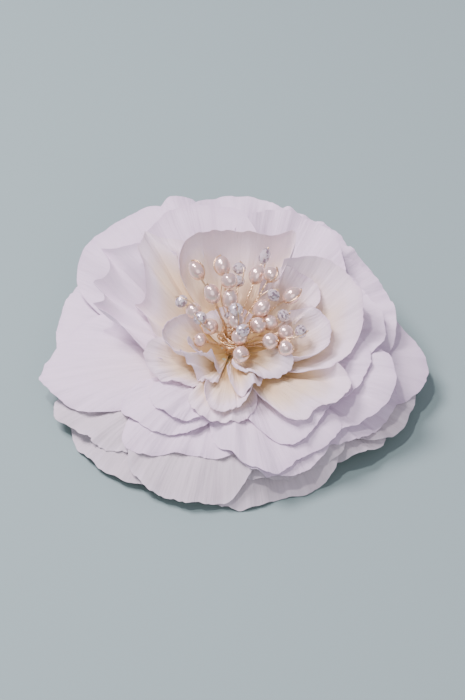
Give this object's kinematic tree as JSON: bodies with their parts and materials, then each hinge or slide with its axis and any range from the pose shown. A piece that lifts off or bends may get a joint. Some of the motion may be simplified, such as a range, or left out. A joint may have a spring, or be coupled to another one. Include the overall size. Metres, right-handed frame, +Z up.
{
  "type": "flower hair clip",
  "caption": "Layered fabric flower on a sprung alligator hair clip, with a central spray of pearls and cut crystals on twisted gilt wire.",
  "frame": {"origin": "middle of the bottom of the bounding box", "axes": "+Z up out of the flower's face, +X along the clip towards its thumb levers, -Y towards the side of the shortest petals"},
  "size_m": [0.1158, 0.1054, 0.0425],
  "materials": {
    "petal_fabric": "stiffened white organza-like cloth",
    "inner_petal_fabric": "stiffened cream cloth",
    "felt": "pressed white felt",
    "hub_plastic": "moulded pale green plastic",
    "plated_steel": "nickel-plated spring steel",
    "gilt_wire": "fine gilt craft wire",
    "pearl": "pinkish cream pearl lustre",
    "crystal": "clear cut glass"
  },
  "bodies": {
    "flower": {"petal_layer_1": "petal_fabric", "petal_layer_2": "petal_fabric", "petal_layer_3": "petal_fabric", "petal_layer_4": "petal_fabric", "petal_layer_5": "petal_fabric", "petal_layer_6": "inner_petal_fabric", "petal_layer_7": "inner_petal_fabric", "hub": "hub_plastic", "felt_disc": "felt", "felt_strap": "felt", "clip_fixed_arm": "plated_steel", "clip_pin": "plated_steel", "clip_spring": "plated_steel", "spray_wire": "gilt_wire", "pearl_1": "pearl", "pearl_2": "pearl", "pearl_3": "pearl", "pearl_4": "pearl", "pearl_5": "pearl", "pearl_6": "pearl", "pearl_7": "pearl", "pearl_8": "pearl", "pearl_9": "pearl", "pearl_10": "pearl", "pearl_11": "pearl", "pearl_12": "pearl", "pearl_13": "pearl", "pearl_14": "pearl", "pearl_15": "pearl", "pearl_16": "pearl", "pearl_17": "pearl", "pearl_18": "pearl", "pearl_19": "pearl", "pearl_20": "pearl", "crystal_1": "crystal", "crystal_2": "crystal", "crystal_3": "crystal", "crystal_4": "crystal", "crystal_5": "crystal", "crystal_6": "crystal", "crystal_7": "crystal", "crystal_8": "crystal", "crystal_9": "crystal", "crystal_10": "crystal", "crystal_11": "crystal"},
    "moving_arm": {"clip_moving_arm": "plated_steel"}
  },
  "joints": [
    {"name": "clip_open", "type": "hinge", "parent": "flower", "child": "moving_arm", "pos_m": [0.01091, -0.00718, 0.0037], "axis": [0, -1, 0], "range_deg": [0, 18], "stiffness_Nm_per_rad": 0.12, "springref_deg": -34.38, "deforming": ["clip_spring"]}
  ]
}
